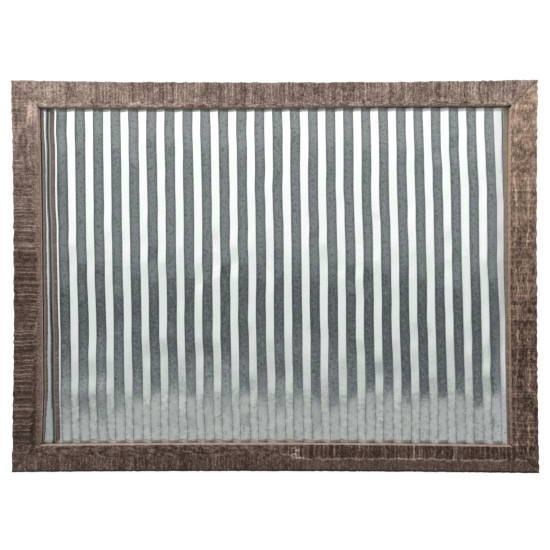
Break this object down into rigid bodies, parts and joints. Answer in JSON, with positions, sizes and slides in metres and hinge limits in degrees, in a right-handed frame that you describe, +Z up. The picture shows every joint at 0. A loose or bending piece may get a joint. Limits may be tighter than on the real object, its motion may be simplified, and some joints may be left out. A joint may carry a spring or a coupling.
{
  "type": "framed corrugated panel",
  "caption": "Landscape panel of upright-ribbed galvanised steel in a mitred frame of rough-sawn dark boards, with a backing board and two swinging hanging rings.",
  "frame": {"origin": "middle of the underside of the bottom rail, on which the panel can stand", "axes": "+X to the viewer's right along the rails, the show side faces -Y, +Y towards the wall, +Z up the stiles"},
  "size_m": [0.61, 0.032, 0.454],
  "materials": {
    "frame_wood": "rough-sawn, dark brown stain with paler worn ridges",
    "galvanised_sheet": "zinc coated, fine spangle, light white rust near the bottom",
    "hardboard": "tempered hardboard, matte",
    "zinc_plated_steel": "bright zinc plate",
    "nail_steel": "bare, slightly dull",
    "bumper_rubber": "matte"
  },
  "bodies": {
    "frame": {"top_rail": "frame_wood", "bottom_rail": "frame_wood", "left_stile": "frame_wood", "right_stile": "frame_wood", "v_nails_bottom_left": "nail_steel", "v_nails_bottom_right": "nail_steel", "v_nails_top_left": "nail_steel", "v_nails_top_right": "nail_steel", "corrugated_panel": "galvanised_sheet", "backing_board": "hardboard", "retainer_points_top": "zinc_plated_steel", "retainer_points_bottom": "zinc_plated_steel", "retainer_points_left": "zinc_plated_steel", "retainer_points_right": "zinc_plated_steel", "hanger_strap_left": "zinc_plated_steel", "hanger_strap_right": "zinc_plated_steel", "hanger_screws_left": "zinc_plated_steel", "hanger_screws_right": "zinc_plated_steel", "bumper_left": "bumper_rubber", "bumper_right": "bumper_rubber"},
    "ring_left": {"hanger_ring_left": "zinc_plated_steel"},
    "ring_right": {"hanger_ring_right": "zinc_plated_steel"}
  },
  "joints": [
    {"name": "ring_left_swing", "type": "hinge", "parent": "frame", "child": "ring_left", "pos_m": [-0.2935, 0.01585, 0.344], "axis": [1, 0, 0], "range_deg": [0, 175]},
    {"name": "ring_right_swing", "type": "hinge", "parent": "frame", "child": "ring_right", "pos_m": [0.2935, 0.01585, 0.344], "axis": [1, 0, 0], "range_deg": [0, 175]}
  ]
}
